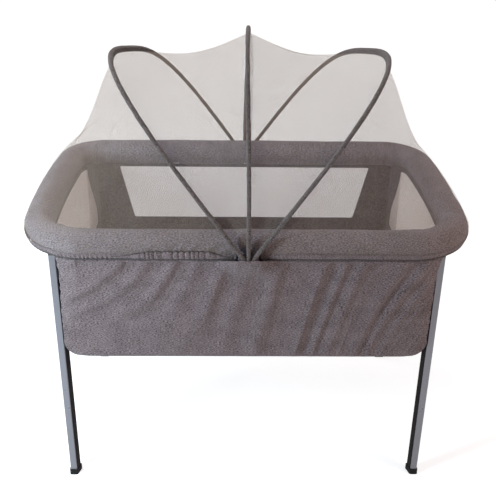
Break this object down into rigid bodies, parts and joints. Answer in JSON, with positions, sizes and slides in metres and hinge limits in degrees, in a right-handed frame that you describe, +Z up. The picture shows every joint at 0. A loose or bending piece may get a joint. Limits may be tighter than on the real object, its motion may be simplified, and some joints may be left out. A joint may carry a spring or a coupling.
{
  "type": "bassinet on stand",
  "caption": "Portable baby bassinet: fabric basket with mesh windows on a padded rail, push-in legs and a folding net canopy on hoops",
  "frame": {"origin": "on the floor, below the middle of the basket", "axes": "+X along the long rail to the user's right, +Y to the rear, +Z up"},
  "size_m": [0.941, 0.6238, 1.0018],
  "materials": {
    "steel": "drawn tube",
    "rail_fabric": "grey heather weave over foam",
    "basket_fabric": "grey heather weave",
    "hoop_fabric": "dark heather binding",
    "net": "fine mosquito net",
    "window_mesh": "open mesh",
    "leg_paint": "satin grey-blue powder coat",
    "black_plastic": "satin black",
    "foot_rubber": "matt black",
    "board": "bare fibreboard",
    "mattress_fabric": "quilted pale cloth"
  },
  "bodies": {
    "frame": {"rail_tube_left": "steel", "rail_tube_right": "steel", "rail_joiner_front": "steel", "rail_joiner_rear": "steel", "leg_spigot_front_left": "steel", "leg_spigot_front_right": "steel", "leg_spigot_rear_left": "steel", "leg_spigot_rear_right": "steel", "rail_pad_front": "rail_fabric", "rail_pad_rear": "rail_fabric", "rail_pad_left": "rail_fabric", "rail_pad_right": "rail_fabric", "leg_bracket_front_left": "black_plastic", "leg_bracket_front_right": "black_plastic", "leg_bracket_rear_left": "black_plastic", "leg_bracket_rear_right": "black_plastic", "hoop_hub_front": "black_plastic", "hoop_hub_rear": "black_plastic", "hoop_centre": "hoop_fabric", "net_hem_left": "hoop_fabric", "net_hem_right": "hoop_fabric", "net_end_left": "net", "net_end_right": "net", "net_top_left": "net", "net_top_right": "net", "basket_tub": "basket_fabric", "window_mesh_back": "window_mesh", "window_mesh_left": "window_mesh", "window_mesh_right": "window_mesh", "base_board_left": "board", "base_board_right": "board", "mattress": "mattress_fabric"},
    "leg_front_left": {"leg_front_left": "leg_paint", "leg_strip_front_left": "black_plastic", "foot_front_left": "foot_rubber"},
    "button_front_left": {"lock_button_front_left": "black_plastic"},
    "leg_front_right": {"leg_front_right": "leg_paint", "leg_strip_front_right": "black_plastic", "foot_front_right": "foot_rubber"},
    "button_front_right": {"lock_button_front_right": "black_plastic"},
    "leg_rear_left": {"leg_rear_left": "leg_paint", "leg_strip_rear_left": "black_plastic", "foot_rear_left": "foot_rubber"},
    "button_rear_left": {"lock_button_rear_left": "black_plastic"},
    "leg_rear_right": {"leg_rear_right": "leg_paint", "leg_strip_rear_right": "black_plastic", "foot_rear_right": "foot_rubber"},
    "button_rear_right": {"lock_button_rear_right": "black_plastic"},
    "hoop_left": {"hoop_left": "hoop_fabric"},
    "hoop_right": {"hoop_right": "hoop_fabric"}
  },
  "joints": [
    {"name": "leg_front_left_plug", "type": "slide", "parent": "frame", "child": "leg_front_left", "axis": [0, 0, 1], "range_m": [-0.05, 0]},
    {"name": "leg_front_right_plug", "type": "slide", "parent": "frame", "child": "leg_front_right", "axis": [0, 0, 1], "range_m": [-0.05, 0]},
    {"name": "leg_rear_left_plug", "type": "slide", "parent": "frame", "child": "leg_rear_left", "axis": [0, 0, 1], "range_m": [-0.05, 0]},
    {"name": "leg_rear_right_plug", "type": "slide", "parent": "frame", "child": "leg_rear_right", "axis": [0, 0, 1], "range_m": [-0.05, 0]},
    {"name": "button_front_left_press", "type": "slide", "parent": "leg_front_left", "child": "button_front_left", "axis": [-0.9536, 0.3011, 0], "range_m": [0, 0.002], "stiffness_N_per_m": 800},
    {"name": "button_front_right_press", "type": "slide", "parent": "leg_front_right", "child": "button_front_right", "axis": [0.9536, 0.3011, 0], "range_m": [0, 0.002], "stiffness_N_per_m": 800},
    {"name": "button_rear_left_press", "type": "slide", "parent": "leg_rear_left", "child": "button_rear_left", "axis": [-0.9536, -0.3011, 0], "range_m": [0, 0.002], "stiffness_N_per_m": 800},
    {"name": "button_rear_right_press", "type": "slide", "parent": "leg_rear_right", "child": "button_rear_right", "axis": [0.9536, -0.3011, 0], "range_m": [0, 0.002], "stiffness_N_per_m": 800},
    {"name": "hoop_left_fold", "type": "hinge", "parent": "frame", "child": "hoop_left", "pos_m": [-0.008, 0, 0.59], "axis": [0, 1, 0], "range_deg": [0, 33], "deforming": ["net_end_left", "net_top_left"]},
    {"name": "hoop_right_fold", "type": "hinge", "parent": "frame", "child": "hoop_right", "pos_m": [0.008, 0, 0.59], "axis": [0, -1, 0], "range_deg": [0, 33], "deforming": ["net_end_right", "net_top_right"]}
  ]
}
